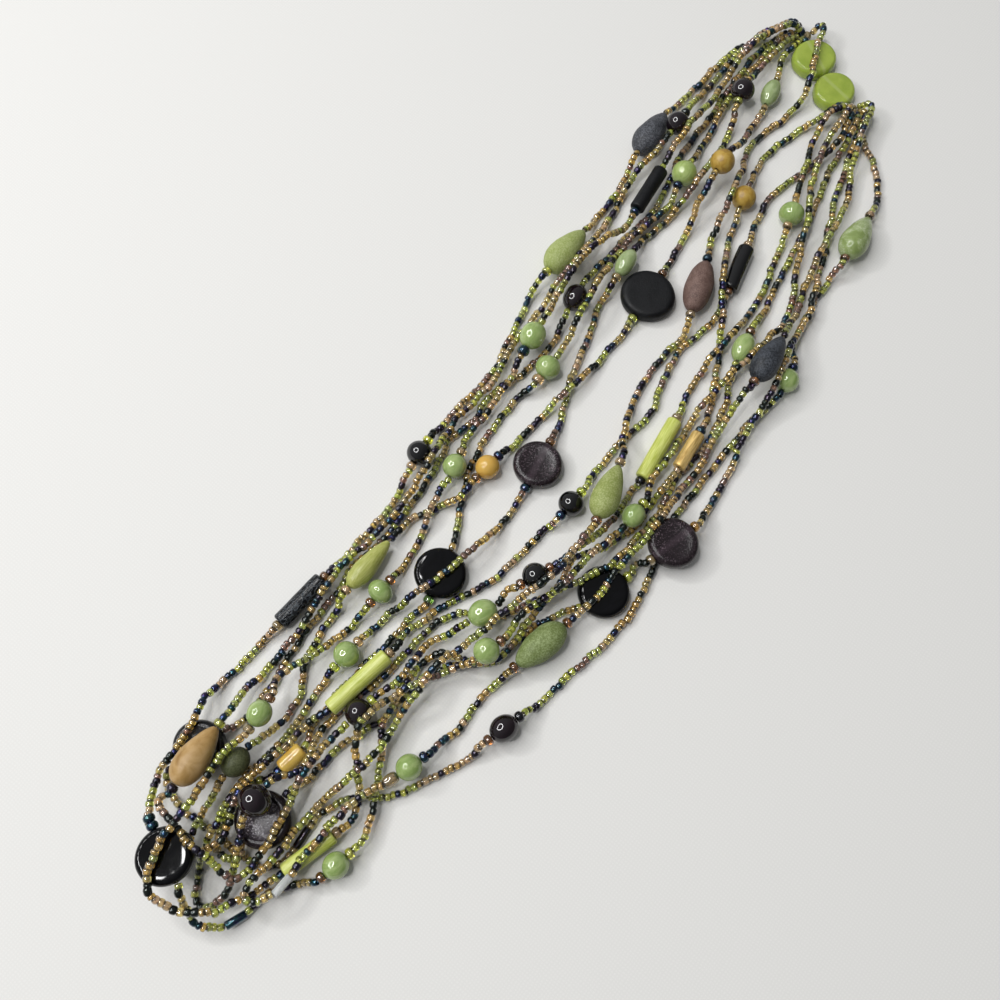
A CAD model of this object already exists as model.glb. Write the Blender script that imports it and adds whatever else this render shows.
"""Visual model of a multi strand necklace of seed beads and larger glass beads, lying flat.

The strings lie where the CAD strings lie. Each one becomes a row of single seed beads with
spacer beads beside the larger beads, and each larger bead takes the place and size of its node.
"""

import logging
import math
import random
from bisect import bisect_left
from dataclasses import dataclass, field
from enum import Enum
from typing import Any, Iterable, Iterator, Sequence

import bmesh
import bpy
from mathutils import Matrix, Vector, geometry, noise


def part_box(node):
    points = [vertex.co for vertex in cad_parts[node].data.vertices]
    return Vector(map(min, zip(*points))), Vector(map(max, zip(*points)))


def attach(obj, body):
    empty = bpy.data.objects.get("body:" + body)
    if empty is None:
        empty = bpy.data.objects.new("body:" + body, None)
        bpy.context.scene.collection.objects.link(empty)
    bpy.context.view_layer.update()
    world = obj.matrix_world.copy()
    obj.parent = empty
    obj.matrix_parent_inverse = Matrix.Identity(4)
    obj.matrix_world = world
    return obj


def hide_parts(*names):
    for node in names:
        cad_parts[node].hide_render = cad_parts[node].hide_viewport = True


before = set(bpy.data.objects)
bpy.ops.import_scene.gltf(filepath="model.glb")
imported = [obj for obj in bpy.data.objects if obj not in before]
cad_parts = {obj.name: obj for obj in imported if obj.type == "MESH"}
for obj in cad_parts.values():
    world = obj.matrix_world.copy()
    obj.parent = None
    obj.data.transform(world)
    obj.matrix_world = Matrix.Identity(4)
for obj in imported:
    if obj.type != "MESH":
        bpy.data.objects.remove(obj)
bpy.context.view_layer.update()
LOG = logging.getLogger("necklace")

MM = 0.001
UP = Vector((0.0, 0.0, 1.0))
GLASS_IOR = 1.52
# A Wave node repeats this many times the inverse of its scale
WAVE_REPEAT = 0.31

Node = bpy.types.Node
Tree = bpy.types.NodeTree
BMesh = bmesh.types.BMesh
Piece = bpy.types.Object
Outline = list[tuple[float, float]]


def linear(hex_colour: str) -> tuple[float, float, float, float]:
    """Turns an sRGB hex colour to linear.

    Args:
        hex_colour: A colour such as "#C9952B".

    Returns:
        Linear red, green, blue and an alpha of 1.
    """
    shares = [int(hex_colour[i : i + 2], 16) / 255 for i in (1, 3, 5)]
    red, green, blue = [s / 12.92 if s <= 0.04045 else ((s + 0.055) / 1.055) ** 2.4 for s in shares]
    return red, green, blue, 1.0


def plug(tree: Tree, node: Node, inputs: dict[Any, Any]) -> None:
    """Sets or links a node's inputs.

    Args:
        tree: The tree that holds the node.
        node: The node.
        inputs: For each input a value, a hex colour, a socket, or a node for its first output.
    """
    for key, value in inputs.items():
        if isinstance(value, Node):
            value = next(socket for socket in value.outputs if socket.enabled)
        if isinstance(value, bpy.types.NodeSocket):
            tree.links.new(value, node.inputs[key])
        else:
            node.inputs[key].default_value = linear(value) if isinstance(value, str) else value


def add_node(
    tree: Tree, kind: str, *inputs: Any, stops: Iterable[tuple[float, str]] = (), **named: Any
) -> Node:
    """Adds one node with its settings and links.

    Args:
        tree: The tree that takes the node.
        kind: The node's type name after "ShaderNode".
        inputs: What its inputs take, in their order, as plug says. A Map Range has the value,
            from least to most, and to least to most.
        stops: Places and hex colours of a ramp's stops.
        named: Inputs by name, with a capital first letter, and settings of the node itself.

    Returns:
        The new node.
    """
    node = tree.nodes.new(f"ShaderNode{kind}")
    for name, value in named.items():
        if name[0].islower():
            setattr(node, name, value)
    plug(tree, node, dict(enumerate(inputs)) | {n: v for n, v in named.items() if n[0].isupper()})
    for i, (place, colour) in enumerate(stops):
        ramp = node.color_ramp.elements
        stop = ramp[i] if i < 2 else ramp.new(place)
        stop.position = place
        stop.color = linear(colour)
    return node


@dataclass(frozen=True)
class Finish:
    """What all finishes share: one Principled shader on a material of its own.

    Patterns read the "bead" attribute, the place on a bead in millimetres with the bore
    along Z, and the "tint" attribute, each bead's own colour with its chance number as alpha.
    """

    name: str
    slot: str

    def make(self) -> bpy.types.Material:
        """Makes the material.

        Returns:
            The finished material.
        """
        material = bpy.data.materials.new(self.name)
        material.use_nodes = True
        tree = material.node_tree
        plug(tree, tree.nodes["Principled BSDF"], self.paint(tree))
        return material

    def paint(self, tree: Tree) -> dict[str, Any]:
        """Adds the finish's pattern.

        Args:
            tree: The material's tree.

        Returns:
            What the shader's inputs take.
        """
        raise NotImplementedError

    def on_bead(self, tree: Tree, along: float = 1.0) -> Node:
        """Gives the place on the bead in millimetres, shifted by the bead's own chance number.

        Args:
            tree: The material's tree.
            along: Scale of the place along the bore, less than 1 to draw a pattern out.

        Returns:
            The node with the place.
        """
        place = add_node(tree, "Attribute", attribute_name="bead").outputs["Vector"]
        chance = add_node(tree, "Attribute", attribute_name="tint").outputs["Alpha"]
        shift = add_node(tree, "VectorMath", (41.0, 23.0, 67.0), Scale=chance, operation="SCALE")
        return add_node(tree, "Mapping", Vector=place, Location=shift, Scale=(1.0, 1.0, along))

    def off_middle(self, tree: Tree, axis: str) -> Node:
        """Gives how far a place lies from the bead's middle along one axis, in millimetres.

        Args:
            tree: The material's tree.
            axis: The axis: Z is the bore's, and Y lies across it in the bead's plane.

        Returns:
            The node with the distance.
        """
        own = add_node(tree, "Attribute", attribute_name="bead").outputs["Vector"]
        parts = add_node(tree, "SeparateXYZ", own)
        return add_node(tree, "Math", parts.outputs[axis], operation="ABSOLUTE")


@dataclass(frozen=True)
class TintedGlass(Finish):
    """Clear coloured glass, drawn and tumbled, as the skin of most of the seed beads.

    It shows the lining of the hole, enlarged, inside a darker rim, under a sharp gloss.
    """

    clear: float = 0.82
    cord: float = 0.7

    def paint(self, tree: Tree) -> dict[str, Any]:
        """Draws the bead's own tint, darker in cords and towards the cut ends.

        Args:
            tree: The material's tree.

        Returns:
            What the shader's inputs take.
        """
        tint = add_node(tree, "Attribute", attribute_name="tint").outputs["Color"]
        place = add_node(tree, "TexCoord").outputs["Object"]
        ends = add_node(tree, "MapRange", self.off_middle(tree, "Z"), 0.28, 0.46, 1.0, 0.08)
        cords = add_node(
            tree, "TexNoise", Vector=place, Scale=1 / (self.cord * MM), Detail=1.0, Roughness=0.6
        )
        level = add_node(tree, "MapRange", cords, 0.36, 0.62, 0.7, 1.1)
        both = add_node(tree, "Math", level, ends, operation="MULTIPLY")
        return {
            "Base Color": add_node(tree, "VectorMath", tint, Scale=both, operation="SCALE"),
            "Roughness": 0.04,
            "IOR": GLASS_IOR,
            "Transmission Weight": self.clear,
            "Coat Weight": 1.0,
            "Coat IOR": 1.9,
        }


@dataclass(frozen=True)
class Lining(Finish):
    """The silver or paint in the hole of a clear bead, which shines through the glass in flecks."""

    pale: str = "#FFFFFF"
    dull: str = "#8C8670"
    metallic: float = 0.45
    fleck: float = 0.45

    def paint(self, tree: Tree) -> dict[str, Any]:
        """Draws a bright coat with duller gaps.

        Args:
            tree: The material's tree.

        Returns:
            What the shader's inputs take.
        """
        place = add_node(tree, "TexCoord").outputs["Object"]
        flecks = add_node(tree, "TexNoise", Vector=place, Scale=1 / (self.fleck * MM), Detail=1.0)
        coat = add_node(tree, "ValToRGB", flecks, stops=((0.4, self.dull), (0.55, self.pale)))
        return {"Base Color": coat, "Metallic": self.metallic, "Roughness": 0.25}


@dataclass(frozen=True)
class IrisGlass(Finish):
    """Dark opaque glass with a fired metal oxide film, as on navy, green and purple seed beads.

    The film shows as a metallic gloss whose hue wanders over each bead.
    """

    wander: float = 0.06
    patch: float = 1.1

    def paint(self, tree: Tree) -> dict[str, Any]:
        """Draws the tint with its hue shifted in soft patches.

        Args:
            tree: The material's tree.

        Returns:
            What the shader's inputs take.
        """
        tint = add_node(tree, "Attribute", attribute_name="tint").outputs["Color"]
        place = add_node(tree, "TexCoord").outputs["Object"]
        patches = add_node(tree, "TexNoise", Vector=place, Scale=1 / (self.patch * MM), Detail=0.0)
        hue = add_node(tree, "MapRange", patches, 0.3, 0.7, 0.5 - self.wander, 0.5 + self.wander)
        return {
            "Base Color": add_node(tree, "HueSaturation", Hue=hue, Color=tint),
            "Metallic": 0.85,
            "Roughness": 0.16,
            "Coat Weight": 1.0,
            "Coat Roughness": 0.03,
        }


@dataclass(frozen=True)
class Clouded(Finish):
    """Clouds of two or three colours in one body, or streaks where along draws them out.

    Places are the ramp's stops for the dark, the pale and the middle colour. Depth is how far
    the dark colour sinks the clouds, line is the colour over the bore, and bump lets the
    streaks be felt.
    """

    dark: str
    pale: str
    middle: str = ""
    places: tuple[float, ...] = (0.36, 0.66)
    size: float = 1.0
    along: float = 1.0
    detail: float = 3.0
    softness: float = 0.55
    distortion: float = 0.0
    depth: float = 0.0
    line: str = ""
    bump: float = 0.0
    roughness: float = 0.05
    ior: float = 1.5
    specular: float = 0.5
    metallic: float = 0.0
    coat: float = 0.0
    clear: float = 0.0

    def paint(self, tree: Tree) -> dict[str, Any]:
        """Mixes the colours by a noise, and lays the depth and the line over them.

        Args:
            tree: The material's tree.

        Returns:
            What the shader's inputs take.
        """
        place = self.on_bead(tree, self.along)
        grain = {"Scale": 1 / self.size, "Detail": self.detail, "Roughness": self.softness}
        clouds = add_node(tree, "TexNoise", Vector=place, Distortion=self.distortion, **grain)
        stops = zip(self.places, (self.dark, self.pale, self.middle))
        colour = add_node(tree, "ValToRGB", clouds, stops=stops)
        if self.depth:
            colour = add_node(tree, "Mix", Factor=self.depth, A=colour, B=self.dark, data_type="RGBA")
        if self.line:
            near = add_node(tree, "MapRange", self.off_middle(tree, "Y"), 0.25, 0.8, 0.8, 0.0)
            colour = add_node(tree, "Mix", Factor=near, A=colour, B=self.line, data_type="RGBA")
        inputs = {
            "Base Color": colour,
            "Roughness": self.roughness,
            "IOR": self.ior,
            "Specular IOR Level": self.specular,
            "Metallic": self.metallic,
            "Coat Weight": self.coat,
            "Transmission Weight": self.clear,
        }
        if self.bump:
            felt = add_node(tree, "Bump", Height=clouds, Strength=self.bump, Distance=0.06 * MM)
            inputs["Normal"] = felt
        return inputs


@dataclass(frozen=True)
class PressedGlass(Clouded):
    """Opaque pressed glass, fire polished, as on the jade green, black and amethyst beads.

    Streaks of the batch colour run round the bead under an even gloss.
    """

    size: float = 2.2
    along: float = 0.45
    distortion: float = 1.2
    roughness: float = 0.04
    ior: float = 1.58
    specular: float = 0.8


@dataclass(frozen=True)
class AmberGlass(Clouded):
    """Amber glass, clouded inside: yellow clouds deep in a brown body."""

    places: tuple[float, ...] = (0.4, 0.6, 0.48)
    size: float = 3.2
    distortion: float = 0.6
    depth: float = 0.75
    ior: float = GLASS_IOR
    clear: float = 0.2


@dataclass(frozen=True)
class DyedShell(Clouded):
    """Dyed shell, cut to a tube and polished: fine fibres along the bore with a satin gloss."""

    size: float = 0.35
    along: float = 0.08
    softness: float = 0.6
    bump: float = 0.35
    roughness: float = 0.34


@dataclass(frozen=True)
class FrostedGlass(Finish):
    """Opaque glass frosted by tumbling, as on the drops and the matte tubes.

    The skin is matt with a pale bloom that fine grains break up, and it is worn a little
    shinier in patches.
    """

    base: str = "#63713C"
    bloom: str = "#8A9866"
    grain: float = 0.45
    patch: float = 3.2
    roughness: float = 0.62
    specular: float = 0.4

    def paint(self, tree: Tree) -> dict[str, Any]:
        """Draws patches, grains that are coarser than real ones so that they show, and a fine bump.

        Args:
            tree: The material's tree.

        Returns:
            What the shader's inputs take.
        """
        place = self.on_bead(tree)
        patches = add_node(tree, "TexNoise", Vector=place, Scale=1 / self.patch, Detail=4.0, Roughness=0.6)
        grains = add_node(tree, "TexNoise", Vector=place, Scale=1 / self.grain, Detail=2.0, Roughness=0.7)
        both = add_node(tree, "Math", patches, 0.55, grains, operation="MULTIPLY_ADD")
        worn, matt = self.roughness - 0.12, self.roughness + 0.1
        return {
            "Base Color": add_node(tree, "ValToRGB", both, stops=((0.68, self.base), (0.92, self.bloom))),
            "Roughness": add_node(tree, "MapRange", patches, 0.35, 0.65, worn, matt),
            "Normal": add_node(tree, "Bump", Height=grains, Strength=0.7, Distance=0.15 * MM),
            "Specular IOR Level": self.specular,
        }


@dataclass(frozen=True)
class SparklingGlass(Finish):
    """Dark glass coin with a sandy, sparkling skin and a paler line where the bore is near.

    Face is the radius of the sandy face inside the rim, or 0 where the whole skin sparkles.
    """

    base: str = "#1B1317"
    spark: str = "#95838C"
    line: str = "#3A2E35"
    grain: float = 0.3
    sparks: float = 0.5
    face: float = 0.0
    face_colour: str = "#3E383D"

    def paint(self, tree: Tree) -> dict[str, Any]:
        """Draws cell grains, a few of them bright, and the line over the bore.

        Args:
            tree: The material's tree.

        Returns:
            What the shader's inputs take.
        """
        place = self.on_bead(tree)
        near = add_node(tree, "MapRange", self.off_middle(tree, "Y"), 0.35, 1.3, 0.55, 0.0)
        body = add_node(tree, "Mix", Factor=near, A=self.base, B=self.line, data_type="RGBA")
        cells = add_node(tree, "TexVoronoi", Vector=place, Scale=1 / self.grain)
        chance = add_node(tree, "SeparateXYZ", cells.outputs["Color"])
        bright = add_node(tree, "MapRange", chance, 0.72, 1.0, 0.0, 0.75)
        patches = add_node(tree, "TexNoise", Vector=place, Scale=1 / 3.5, Detail=2.0)
        zone = add_node(tree, "MapRange", patches, 0.38, 0.6, 0.1, self.sparks)
        share = add_node(tree, "Math", bright, zone, operation="MULTIPLY")
        if self.face:
            own = add_node(tree, "Attribute", attribute_name="bead").outputs["Vector"]
            flat = add_node(tree, "VectorMath", own, (0.0, 1.0, 1.0), operation="MULTIPLY")
            out = add_node(tree, "VectorMath", flat, operation="LENGTH")
            inside = add_node(tree, "MapRange", out, self.face - 0.3, self.face + 0.2, 1.0, 0.0)
            share = add_node(tree, "Math", share, inside, operation="MULTIPLY")
            body = add_node(tree, "Mix", Factor=inside, A=body, B=self.face_colour, data_type="RGBA")
        grains = add_node(tree, "TexNoise", Vector=place, Scale=1 / self.grain, Detail=1.0)
        return {
            "Base Color": add_node(tree, "Mix", Factor=share, A=body, B=self.spark, data_type="RGBA"),
            "Normal": add_node(tree, "Bump", Height=grains, Strength=0.5, Distance=0.1 * MM),
            "Roughness": 0.22,
            "Specular IOR Level": 0.35,
            "IOR": GLASS_IOR,
        }


@dataclass(frozen=True)
class ScribbledGlass(Finish):
    """Black glass tube with a net of silvery scratches rolled into its skin."""

    base: str = "#08090C"
    scratch: str = "#50565C"
    spacing: float = 0.8

    def paint(self, tree: Tree) -> dict[str, Any]:
        """Draws thin bright lines where a warped cell pattern has its edges.

        Args:
            tree: The material's tree.

        Returns:
            What the shader's inputs take.
        """
        place = self.on_bead(tree, 0.5)
        warp = add_node(tree, "TexNoise", Vector=place, Scale=0.7, Detail=2.0).outputs["Color"]
        pulled = add_node(tree, "VectorMath", warp, (1.6, 1.6, 1.6), place, operation="MULTIPLY_ADD")
        cells = add_node(
            tree, "TexVoronoi", Vector=pulled, Scale=1 / self.spacing, feature="DISTANCE_TO_EDGE"
        )
        lines = add_node(tree, "MapRange", cells, 0.02, 0.1, 0.7, 0.0)
        return {
            "Base Color": add_node(tree, "Mix", Factor=lines, A=self.base, B=self.scratch, data_type="RGBA"),
            "Normal": add_node(tree, "Bump", Height=lines, Strength=0.6, Distance=0.15 * MM),
            "Roughness": 0.22,
            "Specular IOR Level": 0.3,
        }


@dataclass(frozen=True)
class TumbledStone(Finish):
    """Soft stone tumbled to a satin skin, with clouds and veins.

    Crackle is how much of the cloud fine pale cracks cover.
    """

    base: str
    cloud: str
    vein: str
    crackle: float = 0.0
    roughness: float = 0.45
    cloud_size: float = 4.5
    crack_colour: str = "#E6EBDC"

    def paint(self, tree: Tree) -> dict[str, Any]:
        """Draws large clouds, darker veins, pale cracks and a light grain.

        Args:
            tree: The material's tree.

        Returns:
            What the shader's inputs take.
        """
        place = self.on_bead(tree)
        grain = {"Scale": 1 / self.cloud_size, "Detail": 5.0, "Roughness": 0.55, "Distortion": 0.8}
        clouds = add_node(tree, "TexNoise", Vector=place, **grain)
        stops = ((0.3, self.vein), (0.72, self.cloud), (0.48, self.base))
        body = add_node(tree, "ValToRGB", clouds, stops=stops)
        grains = add_node(tree, "TexNoise", Vector=place, Scale=2.6, Detail=2.0)
        inputs = {
            "Base Color": body,
            "Normal": add_node(tree, "Bump", Height=grains, Strength=0.2, Distance=0.06 * MM),
            "Roughness": self.roughness,
        }
        if self.crackle:
            grain = {"Scale": 2.2, "Detail": 4.0, "Roughness": 0.75, "Distortion": 1.5}
            cracks = add_node(tree, "TexNoise", Vector=place, **grain)
            fine = add_node(tree, "MapRange", cracks, 0.5, 0.62, 0.0, self.crackle)
            where = add_node(tree, "MapRange", clouds, 0.46, 0.6, 0.0, 1.0)
            share = add_node(tree, "Math", fine, where, operation="MULTIPLY")
            body = add_node(tree, "Mix", Factor=share, A=body, B=self.crack_colour, data_type="RGBA")
            inputs["Base Color"] = body
        return inputs


@dataclass(frozen=True)
class WaxedThread(Finish):
    """Thin twisted thread with a coat of wax: dull gold brown, slightly shiny, with a fine twist."""

    base: str = "#5E5238"
    pale: str = "#948660"
    strand: float = 0.3

    def paint(self, tree: Tree) -> dict[str, Any]:
        """Draws slanting strands a third of a millimetre apart.

        Args:
            tree: The material's tree.

        Returns:
            What the shader's inputs take.
        """
        place = add_node(tree, "TexCoord").outputs["Object"]
        wave = {"Scale": WAVE_REPEAT / (self.strand * MM), "Distortion": 1.0}
        twist = add_node(tree, "TexWave", Vector=place, bands_direction="DIAGONAL", **wave)
        strands = add_node(tree, "ValToRGB", twist.outputs[1], stops=((0.1, self.base), (0.8, self.pale)))
        return {"Base Color": strands, "Roughness": 0.55}


@dataclass(frozen=True)
class WovenCloth(Finish):
    """Off-white cloth under the necklace, plain weave, slightly shadowed threads."""

    base: str = "#DAD9D6"
    shadow: str = "#D6D5D2"
    thread: float = 0.4

    def paint(self, tree: Tree) -> dict[str, Any]:
        """Draws two crossing waves at twice the thread spacing, coarse enough to show.

        Args:
            tree: The material's tree.

        Returns:
            What the shader's inputs take.
        """
        place = add_node(tree, "TexCoord").outputs["Object"]
        wave = {"Scale": WAVE_REPEAT / (self.thread * MM) / 2, "Distortion": 4.0, "Detail": 2.0}
        across = add_node(tree, "TexWave", Vector=place, bands_direction="X", **wave)
        along = add_node(tree, "TexWave", Vector=place, bands_direction="Y", **wave)
        weave = add_node(tree, "Math", across.outputs[1], along.outputs[1], operation="MULTIPLY")
        return {
            "Base Color": add_node(tree, "ValToRGB", weave, stops=((0.0, self.shadow), (0.8, self.base))),
            "Normal": add_node(tree, "Bump", Height=weave, Strength=0.05, Distance=0.1 * MM),
            "Roughness": 0.9,
        }


TINTED = TintedGlass("tinted_clear_glass", "seed_mix")
SILVERING = Lining("silver_lining", "seed_mix")
PAINTING = Lining("pearl_paint_lining", "seed_mix", "#F4E8DC", "#B8A898", 0.25)
IRIS = IrisGlass("iris_glass", "seed_mix")
# Clear drawn glass is mostly see-through, with faint draw lines and bright edges
CLEAR = Clouded(
    "clear_drawn_glass",
    "seed_mix",
    "#D9E0DE",
    "#FFFFFF",
    places=(0.3, 0.7),
    size=0.5,
    along=0.1,
    detail=2.0,
    softness=0.5,
    clear=0.6,
)
JADE = PressedGlass("jade_pressed_glass", "jade", "#7F9752", "#9AAD6E")
PALE_JADE = PressedGlass("pale_jade_pressed_glass", "jade", "#849660", "#9DAC7E")
LIME_ROUND = PressedGlass("lime_pressed_glass", "jade", "#869C50", "#A3B56E")
BLACK = ("gloss_black", "#020203", "#060609")
GLOSS_BLACK = PressedGlass("black_pressed_glass", *BLACK, roughness=0.03, specular=0.55)
BLACK_COIN = PressedGlass("black_coin_glass", *BLACK, roughness=0.05, specular=0.2)
AMETHYST = PressedGlass(
    "amethyst_pressed_glass", "dark_amethyst", "#0B0408", "#160911", roughness=0.03, specular=0.55
)
MATTE_BLACK = FrostedGlass(
    "black_frosted_glass", "frosted_black", "#07080A", "#111215", roughness=0.5, specular=0.25
)
SCRIBBLED = ScribbledGlass("black_scratched_glass", "scribble_black")
PLUM = SparklingGlass("plum_pressed_glass", "sparkling_plum")
SANDY_PLUM = SparklingGlass(
    "plum_sandy_glass", "sparkling_plum", spark="#C4BEC6", line="#1B1317", sparks=0.9, face=4.9
)
SANDY_BLACK = SparklingGlass(
    "black_sandy_glass",
    "scribble_black",
    "#0A0B0E",
    "#B4B8BE",
    "#0A0B0E",
    grain=0.45,
    sparks=1.0,
    face=4.8,
    face_colour="#2C2E33",
)
AMBER = AmberGlass("amber_glass", "amber", "#CC9C48", "#FFE07A", "#FFD460")
DULL_AMBER = AmberGlass(
    "dull_amber_glass", "amber", "#94742E", "#EACB68", "#D0A944", size=2.0, roughness=0.38, clear=0.0
)
AMBER_TUBE = AmberGlass("amber_tube_glass", "amber", "#BE9844", "#F8DE80", "#EACA60", clear=0.1)
FROSTED_GREEN = FrostedGlass("green_frosted_glass", "frosted_green")
FROSTED_YELLOW_GREEN = FrostedGlass("yellow_green_frosted_glass", "frosted_green", "#818C48", "#A0A86E")
FROSTED_LIME = FrostedGlass("lime_frosted_glass", "frosted_green", "#87934E", "#A2AC72")
FROSTED_OLIVE = FrostedGlass("olive_frosted_glass", "frosted_green", "#3A3F22", "#53573A")
FROSTED_SLATE = FrostedGlass("slate_frosted_glass", "frosted_slate", "#2A2C31", "#5C5E64")
FROSTED_DARK = FrostedGlass("dark_slate_frosted_glass", "frosted_slate", "#1B1E23", "#454950")
FROSTED_PLUM = FrostedGlass("plum_frosted_glass", "frosted_plum", "#523C35", "#7E675F", grain=0.22)
SERPENTINE = TumbledStone(
    "serpentine_stone", "serpentine", "#7F9055", "#9BAA77", "#6C7E47", crackle=0.5, roughness=0.22
)
TAN_STONE = TumbledStone("tan_stone", "tan_stone", "#A07F4A", "#B89868", "#86642F")
SHELL = DyedShell("lime_dyed_shell", "shell", "#A8B246", "#CBD07A")
PALE_SHELL = DyedShell("pale_dyed_shell", "shell", "#929846", "#AEB068")
# A gold wash is bright where it is thick and brown where streaks along the bore are worn thin
GOLD = Clouded(
    "satin_gold_wash",
    "satin_gold",
    "#B4924E",
    "#ECC97E",
    places=(0.36, 0.56),
    size=1 / 1.2,
    along=0.16,
    softness=0.6,
    roughness=0.3,
    metallic=0.5,
    coat=0.6,
)
# A polished coin of clear lime glass is cloudy and shows its drilled bore as a paler line
LIME_COIN = Clouded(
    "lime_clear_glass",
    "lime_glass",
    "#A6BC4A",
    "#BACD58",
    places=(0.35, 0.65),
    size=1 / 0.22,
    softness=0.5,
    line="#C2D278",
    roughness=0.09,
    ior=GLASS_IOR,
    clear=0.4,
)
THREAD = WaxedThread("waxed_thread", "thread")
CLOTH = WovenCloth("woven_cloth", "")

SMALL_FINISHES = [TINTED, IRIS, CLEAR, SILVERING, PAINTING]
MATERIALS: dict[str, bpy.types.Material] = {}


def material_of(finish: Finish) -> bpy.types.Material:
    """Makes a finish's material once and gives it again after that.

    Args:
        finish: The finish wanted.

    Returns:
        Its material.
    """
    if finish.name not in MATERIALS:
        MATERIALS[finish.name] = finish.make()
    return MATERIALS[finish.name]


def frame_on(middle: Vector, along: Vector) -> Matrix:
    """Works out the matrix of a bead that lies flat.

    Args:
        middle: The bead's middle in metres.
        along: The direction of its bore.

    Returns:
        A matrix from bead millimetres to metres: Z along the bore, X as near upright as it goes.
    """
    z = along.normalized()
    x = (UP - z * z.z).normalized()
    turn = Matrix((x, z.cross(x), z)).transposed().to_4x4()
    return Matrix.Translation(middle) @ turn @ Matrix.Scale(MM, 4)


def both_ways(half: Outline, middle: Sequence[tuple[float, float]] = ()) -> Outline:
    """Completes an outline that is the same above and below.

    Args:
        half: Its points from one end to its middle.
        middle: The points between the halves.

    Returns:
        The whole outline.
    """
    return [*half, *middle, *[(radius, -height) for radius, height in reversed(half)]]


def spin_closed(mesh: BMesh, outline: Outline, steps: int, loop: bool) -> None:
    """Spins an outline of radius and height about Z into a closed skin.

    Args:
        mesh: The bmesh that takes the skin.
        outline: Radius and height of each point, in millimetres.
        steps: Sides round the axis.
        loop: Whether the outline closes on itself, as round a bore, or ends on the axis.
    """
    points = [mesh.verts.new((radius, 0.0, height)) for radius, height in outline]
    pairs = list(zip(points, points[1:])) + ([(points[-1], points[0])] if loop else [])
    edges = [mesh.edges.new(pair) for pair in pairs]
    turn = {"axis": (0, 0, 1), "angle": math.tau, "steps": steps}
    bmesh.ops.spin(mesh, geom=points + edges, cent=(0, 0, 0), use_merge=True, **turn)
    bmesh.ops.remove_doubles(mesh, verts=mesh.verts, dist=1e-5)
    bmesh.ops.recalc_face_normals(mesh, faces=mesh.faces)


def put(name: str, data: bpy.types.ID) -> Piece:
    """Puts an object in the scene.

    Args:
        name: Its name.
        data: Its mesh, curve, light or camera.

    Returns:
        The new object.
    """
    made = bpy.data.objects.new(name, data)
    bpy.context.scene.collection.objects.link(made)
    return made


def put_mesh(name: str, mesh: BMesh) -> Piece:
    """Puts a bmesh in the scene as an object and frees it.

    Args:
        name: The object's name.
        mesh: Its shape.

    Returns:
        The new object.
    """
    data = bpy.data.meshes.new(name)
    mesh.to_mesh(data)
    mesh.free()
    return put(name, data)


def worked_out(body: Piece) -> BMesh:
    """Gives the shape of an object once its curve or modifiers are worked out.

    Args:
        body: The object.

    Returns:
        Its shape.
    """
    data = bpy.data.meshes.new_from_object(body.evaluated_get(bpy.context.evaluated_depsgraph_get()))
    mesh = bmesh.new()
    mesh.from_mesh(data)
    bpy.data.meshes.remove(data)
    return mesh


def pour(shape: BMesh, mesh: BMesh, matrix: Matrix) -> None:
    """Moves a shape to its place in a piece's mesh, and frees it.

    Args:
        shape: The shape.
        mesh: The mesh that takes it, in metres.
        matrix: From the shape's own place and size to the piece's.
    """
    bmesh.ops.transform(shape, matrix=matrix, verts=shape.verts)
    data = bpy.data.meshes.new("shape")
    shape.to_mesh(data)
    shape.free()
    mesh.from_mesh(data)
    bpy.data.meshes.remove(data)


def finish_piece(
    name: str, mesh: BMesh, finishes: list[Finish], node: str, crease: float = 42.0
) -> Piece:
    """Turns a bmesh to a piece that rides on the body and stands for a CAD node.

    Args:
        name: The piece's name.
        mesh: Its shape in metres. It is freed.
        finishes: Its finishes, in the order of the faces' material numbers.
        node: The CAD node that it stands for.
        crease: Angle in degrees past which an edge stays sharp.

    Returns:
        The new piece.
    """
    for face in mesh.faces:
        face.smooth = True
    for edge in mesh.edges:
        edge.smooth = len(edge.link_faces) < 2 or edge.calc_face_angle(0.0) < math.radians(crease)
    piece = put_mesh(name, mesh)
    for finish in finishes:
        piece.data.materials.append(material_of(finish))
    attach(piece, "root")
    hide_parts(node)
    return piece


class Glass(Enum):
    """The kinds of small bead, with each one's share among the seed beads."""

    GOLD = ("#FFD06A", TINTED, SILVERING, 0.16)
    PALE_GOLD = ("#FFE290", TINTED, TINTED, 0.1)
    LIME = ("#E4EC5A", TINTED, SILVERING, 0.14)
    PALE_LIME = ("#ECF282", TINTED, TINTED, 0.09)
    PEACH = ("#FFD8A0", TINTED, PAINTING, 0.05)
    MAUVE = ("#A87C66", TINTED, PAINTING, 0.06)
    GREEN_IRIS = ("#0A1711", IRIS, IRIS, 0.16)
    NAVY = ("#101A44", IRIS, IRIS, 0.09)
    PURPLE = ("#1C1028", IRIS, IRIS, 0.09)
    TEAL = ("#0A3246", IRIS, IRIS, 0.07)
    BROWN = ("#96602A", TINTED, SILVERING, 0.0)
    TAN = ("#D8BA84", TINTED, PAINTING, 0.0)
    AMBER = ("#CC9C40", TINTED, SILVERING, 0.0)
    BLUE = ("#12304E", IRIS, IRIS, 0.0)
    GREEN = ("#6E9A3C", TINTED, SILVERING, 0.0)
    DARK = ("#15151C", IRIS, IRIS, 0.0)
    CLEAR = ("#FFFFFF", CLEAR, CLEAR, 0.0)

    def __init__(self, colour: str, skin: Finish, hole: Finish, share: float) -> None:
        """Names the colour, the finishes of the skin and of the hole, and the share."""
        self.colour, self.skin, self.hole, self.share = colour, skin, hole, share


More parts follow.
